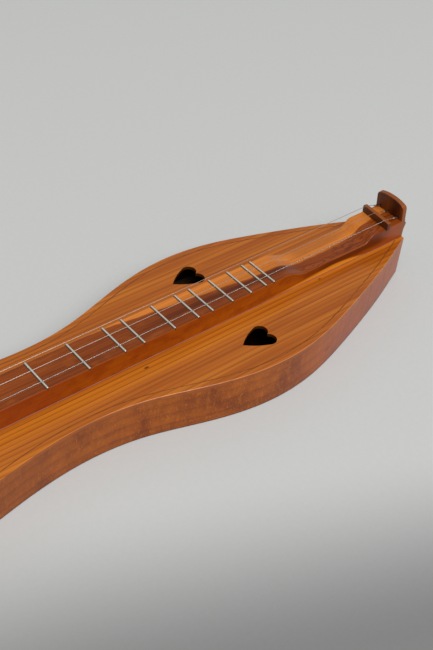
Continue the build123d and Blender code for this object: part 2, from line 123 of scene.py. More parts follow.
class Bench:
    """One material being made: its tree, its shader and the parts that the recipes share."""

    def __init__(self, name, **constants):
        self.material = bpy.data.materials.new(name)
        self.material.use_nodes = True
        self.tree = self.material.node_tree
        self.shader = self.tree.nodes["Principled BSDF"]
        for socket, value in constants.items():
            self.shader.inputs[socket.replace("_", " ")].default_value = value
        position = self.node("ShaderNodeTexCoord", {}, {}, "Object")
        self.x, self.y, self.z = (self.part(position, axis) for axis in "XYZ")

    def node(self, kind, settings=None, values=None, output=0):
        made = self.tree.nodes.new(kind)
        for name, value in (settings or {}).items():
            setattr(made, name, value)
        for name, value in (values or {}).items():
            if isinstance(value, Signal):
                self.tree.links.new(value.socket, made.inputs[name])
            else:
                made.inputs[name].default_value = value
        return Signal(self, made.outputs[output])

    def vector(self, x, y, z):
        return self.node("ShaderNodeCombineXYZ", {}, {0: x, 1: y, 2: z})

    def part(self, vector, axis):
        return self.node("ShaderNodeSeparateXYZ", {}, {0: vector}, axis)

    def length(self, vector):
        return self.node("ShaderNodeVectorMath", {"operation": "LENGTH"}, {0: vector}, "Value")

    def noise(self, where, detail=2.0, roughness=0.5, distortion=0.0):
        values = {"Vector": where, "Scale": 1.0, "Detail": detail, "Roughness": roughness,
                  "Distortion": distortion}
        return self.node("ShaderNodeTexNoise", {}, values, "Fac")

    def step(self, value, low, high, to_low=0.0, to_high=1.0):
        values = {"Value": value, "From Min": low, "From Max": high,
                  "To Min": to_low, "To Max": to_high}
        return self.node("ShaderNodeMapRange", {"interpolation_type": "SMOOTHSTEP"}, values)

    def near(self, value, middle, full, none):
        """1 within `full` of the middle, 0 beyond `none`."""
        return self.step(abs(value - middle), full, none, 1.0, 0.0)

    def blend(self, amount, first, second):
        first = first if isinstance(first, Signal) else (*first, 1.0)
        second = second if isinstance(second, Signal) else (*second, 1.0)
        values = {"Factor": amount, 6: first, 7: second}
        return self.node("ShaderNodeMix", {"data_type": "RGBA"}, values, 2)

    def finish(self, base, roughness=None, bump=None, bump_depth=0.0, metallic=None):
        wanted = {"Base Color": base, "Roughness": roughness, "Metallic": metallic}
        for name, signal in wanted.items():
            if signal is not None:
                self.tree.links.new(signal.socket, self.shader.inputs[name])
        if bump is not None:
            values = {"Height": bump, "Distance": bump_depth, "Strength": 1.0}
            raised = self.node("ShaderNodeBump", {}, values)
            self.tree.links.new(raised.socket, self.shader.inputs["Normal"])
        print("material", self.material.name, "nodes", len(self.tree.nodes))
        return self.material

# %% [markdown]
# ## Timber
# All wood here is one idea in several species: long fibres laid down year by year. Each year starts
# pale and wide and ends in a narrow dark line, so across a board the tone is a sawtooth, not a wave.
# The recipe lets the spacing drift, gives every year its own darkness from a random number, and lets
# the lines wander a little along the board. Finer noise, stretched far along the grain, gives the
# fibres between the lines.

# %% Growth rings and fibres
def long_grain(m, along, across, depth, ring=4.0 * MM, wander=2.0 * MM, seed=0.0):
    """Late-wood lines, fibres and broad tone for a board, each from 0 to 1."""
    drift = m.noise(m.vector(along * 2.6 + seed, across * 16.0, depth * 9.0), detail=2.0)
    bent = across + (drift - 0.5) * (2 * wander)
    spread = m.noise(m.vector(seed, bent * (0.16 / ring), depth * 3.0), detail=1.0)
    year = bent * (1 / ring) + (spread - 0.5) * 3.4 + depth * (0.25 / ring)
    part = year.math("FRACT")
    number = {"W": year.math("FLOOR") + seed}
    each = m.node("ShaderNodeTexWhiteNoise", {"noise_dimensions": "1D"}, number, "Value")
    line = m.step(part, 0.10, 0.93) * part.below(0.965, 0.03)
    line = (line ** 2.6) * (0.30 + 0.70 * each)
    thin = m.vector(along * 16.0 + seed, bent * 1500.0, depth * 700.0)
    wide = m.vector(along * 3.0 + seed, bent * 75.0, depth * 30.0 - seed)
    fibres = m.noise(thin, detail=3.0, roughness=0.65)
    broad = m.noise(wide, detail=3.0, roughness=0.55)
    return line, fibres, broad

# %% [markdown]
# The soundboard is bookmatched: one board is sawn through its thickness and opened like a book, so
# the two halves mirror each other about the centre joint. Using the distance from the centre line in
# place of y does the same thing to the grain. Some bands between the lines are bright and silky. Two
# pin knots sit near the fretboard, where small twigs were cut through, and the grain darkens around
# them.

# %% Soundboard cedar
KNOTS = ((-275.6 * MM, -23.8 * MM, 1.5 * MM), (-85.0 * MM, -19.0 * MM, 1.0 * MM))
LOWER_HEARTS, UPPER_HEARTS = -168.0 * MM, -491.0 * MM
HEART_HALF_LENGTH = 26.0 * MM
HEARTS_OUTER_EDGE = 64.0 * MM


def pin_knot(m, before, y, size):
    """1 at a small knot, 0 away from it; longer along the grain than across."""
    x = BRIDGE_LINE + before
    offset = m.vector((m.x - x) * (0.45 / size), (m.y - y) * (1 / size), 0.0)
    return m.step(m.length(offset), 0.25, 1.0, 1.0, 0.0)


def soundboard_cedar():
    m = Bench("soundboard_cedar", IOR=1.5, Specular_IOR_Level=0.40)
    across = abs(m.y)
    line, fibres, broad = long_grain(m, m.x, across, m.z, ring=4.4 * MM, wander=1.5 * MM, seed=3.7)
    fine, thread, patch = long_grain(m, m.x, across, m.z, ring=1.5 * MM, wander=1.5 * MM, seed=8.2)
    tone = m.blend(m.step(broad, 0.30, 0.70), (0.320, 0.074, 0.0035), (0.500, 0.146, 0.0090))
    tone = m.blend(m.step(patch, 0.48, 0.70) * 0.50, tone, (0.600, 0.200, 0.0160))
    tone = m.blend(fine * m.step(broad, 0.35, 0.6, 0.60, 0.20), tone, (0.200, 0.038, 0.0030))
    tone = m.blend(line * m.step(thread, 0.25, 0.60, 0.34, 0.72), tone, (0.140, 0.025, 0.0025))
    tone = m.blend(m.step(fibres, 0.3, 0.8) * 0.22, tone, (0.240, 0.050, 0.0030))
    knots = pin_knot(m, *KNOTS[0]) + pin_knot(m, *KNOTS[1])
    tone = m.blend(knots.clamp() * 0.85, tone, (0.050, 0.012, 0.0030))
    before = m.x - BRIDGE_LINE
    lower_hearts = m.near(before, LOWER_HEARTS, HEART_HALF_LENGTH, HEART_HALF_LENGTH + 1.0 * MM)
    upper_hearts = m.near(before, UPPER_HEARTS, HEART_HALF_LENGTH, HEART_HALF_LENGTH + 1.0 * MM)
    cut = m.z.below(BOARD_TOP - 0.25 * MM, 0.10 * MM)
    inside = across.below(HEARTS_OUTER_EDGE, 0.5 * MM) * (lower_hearts + upper_hearts)
    # Painted shade: the cut walls of the heart holes are painted nearly black.
    tone = m.blend(cut * inside * 0.9, tone, (0.030, 0.009, 0.0015))
    tone = m.blend(cut * (1 - inside) * 0.7, tone, (0.260, 0.062, 0.0060))
    # Painted highlight: a pale line is painted along the top of the soundboard's outer wall, strongest
    # along the middle of the body.
    arris = m.z.below(BOARD_TOP - 0.03 * MM, 0.02 * MM) * m.z.above(BOARD_TOP - 0.28 * MM, 0.10 * MM)
    arris = arris * (1 - inside)
    arris_highlight_strength = m.step(before, -0.400, -0.290, 0.05, 0.42) * m.step(before, -0.080, 0.000, 1.0, 0.60)
    tone = m.blend(arris * arris_highlight_strength, tone, (0.740, 0.290, 0.1300))
    wear_and_painted_light = m.noise(m.vector(m.x * 6.0, m.y * 6.0, 0.0), detail=3.0)
    roughness = 0.22 + (wear_and_painted_light - 0.5) * 0.12 + fibres * 0.05
    return m.finish(tone, roughness, bump=fibres - line * 0.8, bump_depth=0.00003)


SOUNDBOARD = soundboard_cedar()

# %% [markdown]
# The sides and back are one darker board. Inside they are raw, and through a heart hole the inside
# reads as black, so the inner walls, which are the faces that look towards the centre line, and the
# inner face of the back are painted nearly black: painted shade for the unlit inside of the body.
# Outside, bent sides show a cloudy figure across the fibres, where the light catches waves in the
# grain, short pale scratches left by sanding, and a thin dark line along the lower edge. Towards the
# tail the figure turns to upright streaks on a ground painted redder and pinker, partly a painted
# reflection of the pale paper, and one small pin hole marks the player's side level with the bridge.

# %% Side and back hardwood
BACK_THICKNESS = 3.0 * MM
PIN_HEIGHT = 25.6 * MM
PIN_SIZE = 1.4 * MM


def pin_hole(m, x, z, size):
    """1 at a small round mark on a side, 0 away from it."""
    offset = m.vector((m.x - x) * (1 / size), 0.0, (m.z - z) * (1 / size))
    return m.step(m.length(offset), 0.45, 1.0, 1.0, 0.0)


def body_hardwood():
    m = Bench("body_hardwood", IOR=1.5, Specular_IOR_Level=0.27)
    before = m.x - BRIDGE_LINE
    line, fibres, broad = long_grain(m, m.x, m.z, m.y * 0.03, ring=9.0 * MM, wander=5.0 * MM, seed=9.1)
    cloud = m.vector(m.x * 30.0, m.y * 18.0, m.z * 26.0)
    cloud = m.noise(cloud, detail=5.0, roughness=0.62, distortion=0.5)
    waves = m.vector(m.x * 230.0, m.y * 120.0, m.z * 60.0)
    waves = m.noise(waves, detail=5.0, roughness=0.66, distortion=0.4)
    grit = m.noise(m.vector(m.x * 900.0, m.y * 700.0, m.z * 330.0), detail=2.0, roughness=0.6)
    tone = m.blend(m.step(cloud, 0.32, 0.68), (0.200, 0.038, 0.0020), (0.370, 0.088, 0.0040))
    tone = m.blend(m.step(waves, 0.46, 0.68) * 0.42, tone, (0.450, 0.120, 0.0070))
    tone = m.blend(m.step(broad, 0.50, 0.72) * 0.50, tone, (0.165, 0.030, 0.0050))
    tone = m.blend(line * 0.45, tone, (0.130, 0.024, 0.0050))
    scratched = m.step(grit, 0.56, 0.74) * m.step(before, -0.200, -0.120, 0.55, 0.12)
    tone = m.blend(scratched, tone, (0.540, 0.180, 0.0200))
    # Partly painted reflection: towards the tail the side is painted a redder, pinker tone that stands in
    # for the pale paper mirrored in it.
    tone = m.blend(m.step(before, -0.190, -0.060) * 0.45, tone, (0.430, 0.078, 0.0250))
    tone = m.blend(m.step(before, -0.300, -0.400) * 0.20, tone, (0.120, 0.022, 0.0030))
    streaks = m.noise(m.vector(m.x * 210.0, m.y * 90.0, m.z * 26.0), detail=3.0, roughness=0.6)
    upright = m.step(before, -0.150, -0.040) * m.step(streaks, 0.48, 0.66)
    tone = m.blend(upright * 0.50, tone, (0.190, 0.036, 0.0120))
    pin = pin_hole(m, BRIDGE_LINE, PIN_HEIGHT, PIN_SIZE) * m.y.below(0.0, 1.0 * MM)
    tone = m.blend(pin * 0.92, tone, (0.030, 0.010, 0.0060))
    facing = m.part(m.node("ShaderNodeNewGeometry", {}, {}, "True Normal"), "Y")
    inner_wall = m.step(facing * m.y.math("SIGN"), -0.5, -0.2, 1.0, 0.0)
    inner_wall = inner_wall * m.z.above(BACK_THICKNESS, 0.05 * MM)
    floor_inside = m.z.above(BACK_THICKNESS - 0.1 * MM, 0.08 * MM)
    floor_inside = floor_inside * m.z.below(BACK_THICKNESS + 0.1 * MM, 0.08 * MM)
    # Painted shade: the inside of the body is painted nearly black.
    painted_interior_shade = (floor_inside + inner_wall).clamp()
    tone = m.blend(painted_interior_shade * 0.97, tone, (0.006, 0.003, 0.0015))
    # A thin dark line along the lower edge.
    edge = m.z.below(1.5 * MM, 0.4 * MM)
    tone = m.blend(edge * 0.80, tone, (0.110, 0.014, 0.0050))
    marks = m.noise(m.vector(m.x * 46.0, m.y * 46.0, m.z * 150.0), detail=1.0)
    tone = m.blend(m.step(marks, 0.760, 0.80) * 0.7, tone, (0.060, 0.014, 0.0060))
    roughness = 0.34 + (cloud - 0.5) * 0.12
    return m.finish(tone, roughness, bump=waves, bump_depth=0.00002)


BODY = body_hardwood()

# %% [markdown]
# The fretboard shows two woods in one board: purple-brown heartwood, and pale sapwood that was nearer
# the bark. The line between them crosses the top slowly, from the far edge by the middle frets to
# just past the middle at the strum hollow, and turns back by the bridge. Beside it runs a band of the
# darkest heartwood. In the hollow and by the bridge buried branches turn the grain into swirls. The
# flanks are a deeper orange than the top, partly a painted reflection of the warm soundboard. Low on
# the player's flank a bright orange wedge is painted: a painted reflection of the lit soundboard.

# %% Fretboard cedar
SWIRLS = ((-24.0 * MM, -7.5 * MM, 1.0), (-86.0 * MM, -12.5 * MM, 0.55))


def fretboard_cedar():
    m = Bench("fretboard_cedar", IOR=1.5, Specular_IOR_Level=0.25)
    line, fibres, broad = long_grain(m, m.x, m.y, m.z, ring=3.4 * MM, wander=2.0 * MM, seed=5.3)
    before = m.x - BRIDGE_LINE
    drift = m.noise(m.vector(m.x * 21.0, m.y * 24.0, 0.0), detail=3.0, roughness=0.6)
    ripple = m.noise(m.vector(m.x * 60.0, m.y * 190.0, m.z * 80.0), detail=3.0, roughness=0.6)
    border = 16.8 * MM - m.step(before, -0.345, -0.100, 0.0, 19.5 * MM)
    border = border + m.step(before, -0.060, 0.004, 0.0, 6.0 * MM)
    beyond = m.y - border + (drift - 0.5) * (7.0 * MM)
    heart = m.blend(m.step(broad, 0.34, 0.68), (0.185, 0.036, 0.0040), (0.300, 0.068, 0.0080))
    heart = m.blend(line * 0.50, heart, (0.082, 0.015, 0.0032))
    heart = m.blend(m.step(ripple, 0.48, 0.70) * 0.40, heart, (0.330, 0.080, 0.0090))
    streak = m.y + 2.0 * MM + m.step(before, -0.240, -0.120, 0.0, 3.3 * MM)
    streak = streak + (drift - 0.5) * (4.0 * MM)
    darkest = m.near(streak, 0.0, 0.8 * MM, 4.6 * MM) * m.step(before, -0.290, -0.215)
    darkest = darkest * m.step(before, -0.100, -0.120, 0.25, 1.0)
    heart = m.blend(darkest * 0.78, heart, (0.062, 0.011, 0.0042))
    heart = m.blend(m.step(before, -0.125, -0.085) * 0.55, heart, (0.270, 0.054, 0.0055))
    lean = m.noise(m.vector(before * 9.0, (m.y + before * 0.05) * 420.0, 0.0), roughness=0.6)
    leaning = m.step(before, -0.130, -0.090) * m.step(lean, 0.54, 0.64)
    heart = m.blend(leaning * 0.80, heart, (0.085, 0.013, 0.0040))
    pale = m.blend(m.step(broad, 0.34, 0.70), (0.500, 0.146, 0.0160), (0.740, 0.240, 0.0400))
    pale = m.blend(line * 0.38, pale, (0.330, 0.086, 0.0090))
    dull = m.step(beyond, 4.0 * MM, 9.0 * MM) * m.step(before, -0.055, -0.010, 1.0, 0.0) * 0.5
    dull = dull * m.step(before, -0.110, -0.085)
    pale = m.blend(dull, pale, (0.250, 0.070, 0.0110))
    tone = m.blend(m.step(beyond, -0.8 * MM, 1.2 * MM), heart, pale)
    for along, across, size in SWIRLS:
        x, y = (before - along) * (25.0 / size), (m.y - across) * (128.0 / size)
        reach = m.length(m.vector(x, y, (drift - 0.5) * 2.6))
        swirl = (reach * 13.0 + m.x * 150.0 + drift * 46.0 + ripple * 9.0).math("SINE") * 0.5 + 0.5
        figure = m.blend(m.step(swirl, 0.05, 0.55), (0.085, 0.014, 0.0045), (0.270, 0.056, 0.0060))
        tone = m.blend(m.step(reach, 0.45, 1.35, 0.55, 0.0), tone, figure)
    flank = m.step(abs(m.y), FRETBOARD_HALF - 0.35 * MM, FRETBOARD_HALF - 0.05 * MM)
    # Partly painted reflection: the flank is given a deeper, more saturated orange that stands in for the
    # warm light it gets back from the soundboard.
    side_tone = m.blend(m.step(broad, 0.3, 0.7), (0.290, 0.050, 0.0010), (0.440, 0.096, 0.0020))
    side_tone = m.blend(m.step(ripple, 0.42, 0.66) * 0.58, side_tone, (0.230, 0.030, 0.0012))
    ruddy = m.step(before, -0.300, -0.400) * m.step(drift, 0.35, 0.65)
    side_tone = m.blend(ruddy * 0.6, side_tone, (0.270, 0.034, 0.0060))
    side_tone = m.blend(m.step(before, -0.020, 0.004) * 0.7, side_tone, (0.300, 0.062, 0.0140))
    high = (m.z - BOARD_TOP) * (1 / (FRETBOARD_TOP - BOARD_TOP))
    smoky = m.step(before, -0.125, -0.065) * m.step(before, 0.010, -0.014) * m.step(high, 0.10, 0.42)
    side_tone = m.blend(smoky * 0.92, side_tone, (0.105, 0.015, 0.0008))
    # Painted reflection: a bright orange wedge low on the player's flank stands in for the lit soundboard
    # mirrored in the varnish.
    painted_reflection_top = ((before + 0.175) * 3.2).clamp() * m.step(before, -0.012, -0.072)
    painted_reflection_wedge = m.step(high - painted_reflection_top, -0.08, 0.04, 1.0, 0.0) * m.step(high, 0.02, 0.08)
    painted_reflection_wedge = painted_reflection_wedge * m.step(before, -0.180, -0.080, 0.25, 1.0) * m.step(before, -0.175, -0.150)
    side_tone = m.blend(painted_reflection_wedge * 0.85, side_tone, (0.860, 0.300, 0.0200))
    tone = m.blend(flank, tone, side_tone)
    tone = m.blend(m.step(fibres, 0.3, 0.80) * 0.28, tone, (0.110, 0.020, 0.0020))
    roughness = 0.27 + (broad - 0.5) * 0.10
    return m.finish(tone, roughness, bump=fibres - line * 0.5, bump_depth=0.00003)


FRETBOARD = fretboard_cedar()

# %% [markdown]
# The bridge, nut and end plate are a dense dark hardwood, oiled more than varnished. The pegs are
# darker still, and the purfling is a strip of the same wood. One recipe serves all of them, with
# other tones and another seed. The rim of the plate and the crown of the bridge are painted a warmer,
# lighter brown as painted light, which leaves the plate's inner face dark as painted shade. So those
# two bring a mask of their own.

# %% Dark hardwood, peg wood and purfling
def dark_wood(name, dark, light, roughness, ring, seed, upright=False, wear_and_painted_light=None):
    m = Bench(name, IOR=1.5, Specular_IOR_Level=0.38)
    along, across = (m.z, m.y) if upright else (m.y, m.z)
    line, fibres, broad = long_grain(m, along, across, m.x, ring=ring, wander=1.2 * MM, seed=seed)
    tone = m.blend(m.step(broad, 0.3, 0.72), dark, light)
    tone = m.blend(line * 0.5, tone, tuple(c * 0.5 for c in dark))
    pores = m.step(fibres, 0.52, 0.8)
    tone = m.blend(pores * 0.35, tone, tuple(c * 0.4 for c in dark))
    if wear_and_painted_light is not None:
        tone = m.blend(wear_and_painted_light(m) * 0.75, tone, (0.270, 0.070, 0.0120))
    return m.finish(tone, roughness + (broad - 0.5) * 0.12, bump=fibres, bump_depth=0.00004)


def plate_rim(m):
    """Painted light: everything but the inner face, which leans towards the head above the fretboard; the
    inner face stays dark as painted shade.
    """
    lean = ((m.z - FRETBOARD_TOP) * math.tan(PLATE_RAKE)).math("MAXIMUM", 0.0)
    return m.step(m.x + lean - (BODY_TAIL - PLATE_THICKNESS), 0.25 * MM, 0.80 * MM)


# Painted highlight: the crown of the bridge is painted lighter where it faces the light.
def bridge_crown(m):
    return m.z.above(BRIDGE_HIGH[2] - 0.75 * MM, 0.15 * MM)


PLATE = dark_wood("plate_hardwood", (0.052, 0.009, 0.0014), (0.260, 0.054, 0.0050), roughness=0.36,
                  ring=5.0 * MM, seed=24.0, upright=True, wear_and_painted_light=plate_rim)
BRIDGE = dark_wood("bridge_hardwood", (0.055, 0.012, 0.0025), (0.130, 0.030, 0.0050), roughness=0.30,
                   ring=2.4 * MM, seed=21.0, wear_and_painted_light=bridge_crown)
DARK = dark_wood("dark_hardwood", (0.060, 0.012, 0.0025), (0.160, 0.036, 0.0060), roughness=0.30,
                 ring=2.4 * MM, seed=21.0)
PEG = dark_wood("peg_wood", (0.030, 0.010, 0.0060), (0.085, 0.026, 0.0120), roughness=0.30,
                ring=1.8 * MM, seed=31.0)
PURFLING = dark_wood("purfling_wood", (0.150, 0.036, 0.0035), (0.240, 0.062, 0.0060), roughness=0.34,
                     ring=2.0 * MM, seed=41.0)

# %% [markdown]
# The pegbox is sawn from the same tree as the body, but from a thicker plank. Its growth rings run
# through the block and show on every carved face, so the recipe uses the depth as it is. Deep in the
# slot the wood is painted darker, a painted shade in the recess.

# %% Pegbox hardwood
SLOT_HALF = 9.5 * MM
SLOT_SHADE_HEIGHT = 30.0 * MM


def pegbox_wood():
    m = Bench("pegbox_wood", IOR=1.5, Specular_IOR_Level=0.5)
    line, fibres, broad = long_grain(m, m.x, m.z, m.y, ring=5.0 * MM, wander=3.0 * MM, seed=12.0)
    tone = m.blend(m.step(broad, 0.3, 0.72), (0.210, 0.044, 0.0050), (0.370, 0.100, 0.0120))
    tone = m.blend(line * 0.6, tone, (0.130, 0.026, 0.0050))
    tone = m.blend(m.step(fibres, 0.3, 0.9) * 0.25, tone, (0.150, 0.030, 0.0060))
    # Painted shade: low in the slot the wood is painted darker.
    slot_low = m.z.below(SLOT_SHADE_HEIGHT, 12.0 * MM) * abs(m.y).below(SLOT_HALF, 1.5 * MM)
    tone = m.blend(slot_low * 0.4, tone, (0.120, 0.032, 0.0100))
    return m.finish(tone, 0.31 + (broad - 0.5) * 0.12, bump=fibres - line, bump_depth=0.00003)


PEGBOX = pegbox_wood()

# %% [markdown]
# Inside, nobody varnishes. Blocks, linings and braces are softwood left from the plane. They show
# only through the heart holes, and they are painted nearly black: painted shade for the unlit inside of
# the body. The outer end of the tail block is the one exception: it closes the body, so it is
# stained and varnished.

# %% Unvarnished softwood inside
def inner_softwood():
    m = Bench("inner_softwood", IOR=1.45, Specular_IOR_Level=0.3)
    line, fibres, broad = long_grain(m, m.y, m.x, m.z, ring=2.2 * MM, wander=0.8 * MM, seed=51.0)
    # Painted shade: the inside softwood is painted nearly black.
    tone = m.blend(m.step(broad, 0.3, 0.7), (0.028, 0.015, 0.006), (0.046, 0.026, 0.011))
    tone = m.blend(line * 0.7, tone, (0.018, 0.009, 0.004))
    outside = m.x.above(BODY_TAIL - 0.4 * MM, 0.1 * MM) + m.x.below(BODY_HEAD + 0.4 * MM, 0.1 * MM)
    end_grain = m.noise(m.vector(m.x * 100.0, m.y * 420.0, m.z * 160.0), detail=4.0, roughness=0.6)
    finished = m.blend(m.step(end_grain, 0.35, 0.68), (0.150, 0.030, 0.0040), (0.300, 0.076, 0.0100))
    tone = m.blend(outside.clamp(), tone, finished)
    roughness = m.step(outside, 0.2, 0.8, 0.78, 0.36)
    return m.finish(tone, roughness, bump=fibres, bump_depth=0.00004)


SOFTWOOD = inner_softwood()

# %% [markdown]
# ## Metal
# Fret wire is nickel silver: a warm grey, with the lower sides of the crown painted dark as painted
# shade, and dull at its foot.
# Below the crown the end of each fret slot is packed with dark filler, which shows as a small mark on
# the flank of the fretboard. Plain strings are bright steel. Towards the tail all strings are painted a
# warmer, darker tone, a painted reflection of the wood below them. The wound string carries a fine
# wrap, too fine to model turn by turn along its whole length, so its ridges are a bump that repeats
# along x. The balls behind the end plate are brass.

# %% Fret wire, strings and brass
def fret_wire():
    m = Bench("fret_wire", IOR=1.5)
    wear = m.noise(m.vector(m.x * 900.0, m.y * 260.0, m.z * 900.0), detail=3.0)
    foot = m.z.below(FRETBOARD_TOP + 0.02 * MM, 0.06 * MM)
    # Painted shade: the lower sides of the crown are painted dark.
    painted_shade_below_crown = m.z.below(FRETBOARD_TOP + 0.76 * MM, 0.12 * MM)
    tone = m.blend(wear, (0.860, 0.800, 0.680), (0.960, 0.910, 0.800))
    tone = m.blend(painted_shade_below_crown * 0.85, tone, (0.130, 0.100, 0.055))
    tone = m.blend(foot, tone, (0.050, 0.020, 0.0100))
    roughness = 0.30 + (wear - 0.5) * 0.14 + foot * 0.4
    return m.finish(tone, roughness, metallic=(1 - foot) * 0.78, bump=wear, bump_depth=0.00001)


def string_wire(name, tone_dark, tone_light, roughness, pitch=None):
    m = Bench(name, IOR=1.5, Metallic=1.0)
    age = m.noise(m.vector(m.x * 25.0, m.y * 60.0, m.z * 60.0), detail=2.0)
    tone = m.blend(age, tone_dark, tone_light)
    # Painted reflection: towards the tail the strings are painted warmer and darker.
    tone = m.blend(m.step(m.x - BRIDGE_LINE, -0.380, -0.120), tone, (0.560, 0.430, 0.350))
    behind = m.step(m.x, BODY_TAIL - 11.5 * MM, BODY_TAIL - 10.0 * MM)
    tone = m.blend(behind * 0.85, tone, (0.060, 0.040, 0.030))
    if pitch is None:
        return m.finish(tone, roughness + (age - 0.5) * 0.10)
    ridge = (m.x * (2 * math.pi / pitch)).math("SINE") * 0.5 + 0.5
    tone = m.blend(ridge * 0.5, tone, tuple(c * 0.35 for c in tone_dark))
    return m.finish(tone, roughness + (age - 0.5) * 0.10, bump=ridge, bump_depth=pitch * 0.25)


def ball_brass():
    m = Bench("ball_brass", IOR=1.5, Metallic=1.0)
    age = m.noise(m.vector(m.x * 500.0, m.y * 500.0, m.z * 500.0), detail=3.0)
    tone = m.blend(age, (0.520, 0.330, 0.120), (0.740, 0.520, 0.230))
    return m.finish(tone, 0.28 + (age - 0.5) * 0.2)


FRET_WIRE = fret_wire()
WRAP_PITCH = 0.36 * MM
STEEL = string_wire("string_steel", (0.72, 0.65, 0.61), (0.84, 0.78, 0.74), 0.45)
WOUND = string_wire("string_wound", (0.60, 0.55, 0.51), (0.80, 0.75, 0.70), 0.42, WRAP_PITCH)
BRASS = ball_brass()

# %% [markdown]
# Every node of the frame now gets its finish. The table goes by the start of the node's name, and the
# loop stops if a node is left over, so nothing can stay grey by accident.

# %% Dress every node of the frame
FINISHES = {
    "soundboard": SOUNDBOARD, "back_far": BODY, "back_near": BODY, "side": BODY, "purfling": PURFLING,
    "fretboard": FRETBOARD, "fret_": FRET_WIRE, "nut": DARK, "bridge": BRIDGE, "end_plate": PLATE,
    "pegbox": PEGBOX, "peg_": PEG, "ball_end": BRASS, "string_bass": WOUND, "winding_bass": WOUND,
    "string": STEEL, "winding": STEEL, "lining": SOFTWOOD, "tail_block": SOFTWOOD, "head_block": SOFTWOOD,
    "top_brace": SOFTWOOD, "back_brace": SOFTWOOD, "back_centre_strip": SOFTWOOD,
}


def dress(piece, material):
    piece.data.materials.clear()
    piece.data.materials.append(material)


for name, piece in frame["nodes"].items():
    start = next(key for key in FINISHES if name.startswith(key))
    dress(piece, FINISHES[start])
print("dressed", len(frame["nodes"]), "nodes")

# %% [markdown]
# ## Small things that repeat
# Some details are too fine for the frame but still belong to the maker's hand: the turns of wire on a
# peg, the filled ends of the fret slots, the bead of glue along the fretboard. Each of them repeats
# or follows a line, so each is a small Geometry Nodes tree with named inputs. The tree is run once,
# and what it makes is kept as plain mesh. Its nodes are made by one method again, in the same way as
# the shader nodes.

# %% A bench for Geometry Nodes
class Jig:
    def __init__(self, name, **inputs):
        self.tree = bpy.data.node_groups.new(name, "GeometryNodeTree")
        self.tree.interface.new_socket("Geometry", in_out="INPUT", socket_type="NodeSocketGeometry")
        self.ids = {}
        for label, kind in {**inputs, "Seed": "Int", "Finish": "Material"}.items():
            made = self.tree.interface.new_socket(label, in_out="INPUT", socket_type="NodeSocket" + kind)
            self.ids[label] = made.identifier
        self.tree.interface.new_socket("Geometry", in_out="OUTPUT", socket_type="NodeSocketGeometry")
        self.given = self.tree.nodes.new("NodeGroupInput").outputs

    def node(self, kind, settings=None, values=None, output=0):
        made = self.tree.nodes.new(kind)
        for name, value in (settings or {}).items():
            setattr(made, name, value)
        for name, value in (values or {}).items():
            if isinstance(value, bpy.types.NodeSocket):
                self.tree.links.new(value, made.inputs[name])
            else:
                made.inputs[name].default_value = value
        return made.outputs[output]

    def end(self, geometry):
        whole = self.node("GeometryNodeRealizeInstances", {}, {"Geometry": geometry})
        values = {"Geometry": whole, "Material": self.given["Finish"]}
        dressed = self.node("GeometryNodeSetMaterial", {}, values)
        out = self.tree.nodes.new("NodeGroupOutput")
        self.tree.links.new(dressed, out.inputs["Geometry"])

    def run(self, piece_name, points, edges=(), **inputs):
        """Run the jig once on points and edges, and keep the result as plain mesh at the origin."""
        start = bpy.data.meshes.new(piece_name + "_start")
        start.from_pydata([tuple(p) for p in points], list(edges), [])
        raw = bpy.data.objects.new(piece_name + "_raw", start)
        step = raw.modifiers.new("jig", "NODES")
        step.node_group = self.tree
        for label, value in inputs.items():
            step[self.ids[label]] = value
        bpy.context.scene.collection.objects.link(raw)
        ready = raw.evaluated_get(bpy.context.evaluated_depsgraph_get())
        mesh = bpy.data.meshes.new_from_object(ready)
        bpy.data.objects.remove(raw)
        piece = bpy.data.objects.new(piece_name, mesh)
        bpy.context.scene.collection.objects.link(piece)
        print(piece_name, "faces:", len(mesh.polygons))
        return piece

# %% [markdown]
# Hide glue squeezes out when the fretboard is clamped down, and a thin bead stays along both long
# feet. It is a little thicker in some places than in others. On the jig it is a curve along the
# joint, given a radius that follows noise, with a small round section.

# %% Glue bead along the fretboard
def bead_jig():
    jig = Jig("bead", Radius="Float", Wobble="Float")
    given = jig.given
    line = jig.node("GeometryNodeMeshToCurve", {}, {"Mesh": given["Geometry"]})
    line = jig.node("GeometryNodeResampleCurve", {"mode": "LENGTH"}, {"Curve": line, "Length": 2.0 * MM})
    values = {"Scale": 90.0, "W": given["Seed"]}
    lump = jig.node("ShaderNodeTexNoise", {"noise_dimensions": "4D"}, values, "Fac")
    swing = jig.node("ShaderNodeMath", {"operation": "MULTIPLY"}, {0: lump, 1: given["Wobble"]})
    radius = jig.node("ShaderNodeMath", {"operation": "ADD"}, {0: given["Radius"], 1: swing})
    round_section = jig.node("GeometryNodeCurvePrimitiveCircle", {}, {"Resolution": 10, "Radius": 1.0})
    values = {"Curve": line, "Profile Curve": round_section, "Fill Caps": True, "Scale": radius}
    jig.end(jig.node("GeometryNodeCurveToMesh", {}, values))
    return jig


def old_glue():
    m = Bench("old_glue", IOR=1.5, Specular_IOR_Level=0.5)
    cloudy = m.noise(m.vector(m.x * 60.0, m.y * 60.0, m.z * 60.0), detail=3.0)
    tone = m.blend(cloudy, (0.150, 0.046, 0.0260), (0.400, 0.190, 0.1300))
    return m.finish(tone, 0.24 + cloudy * 0.2)


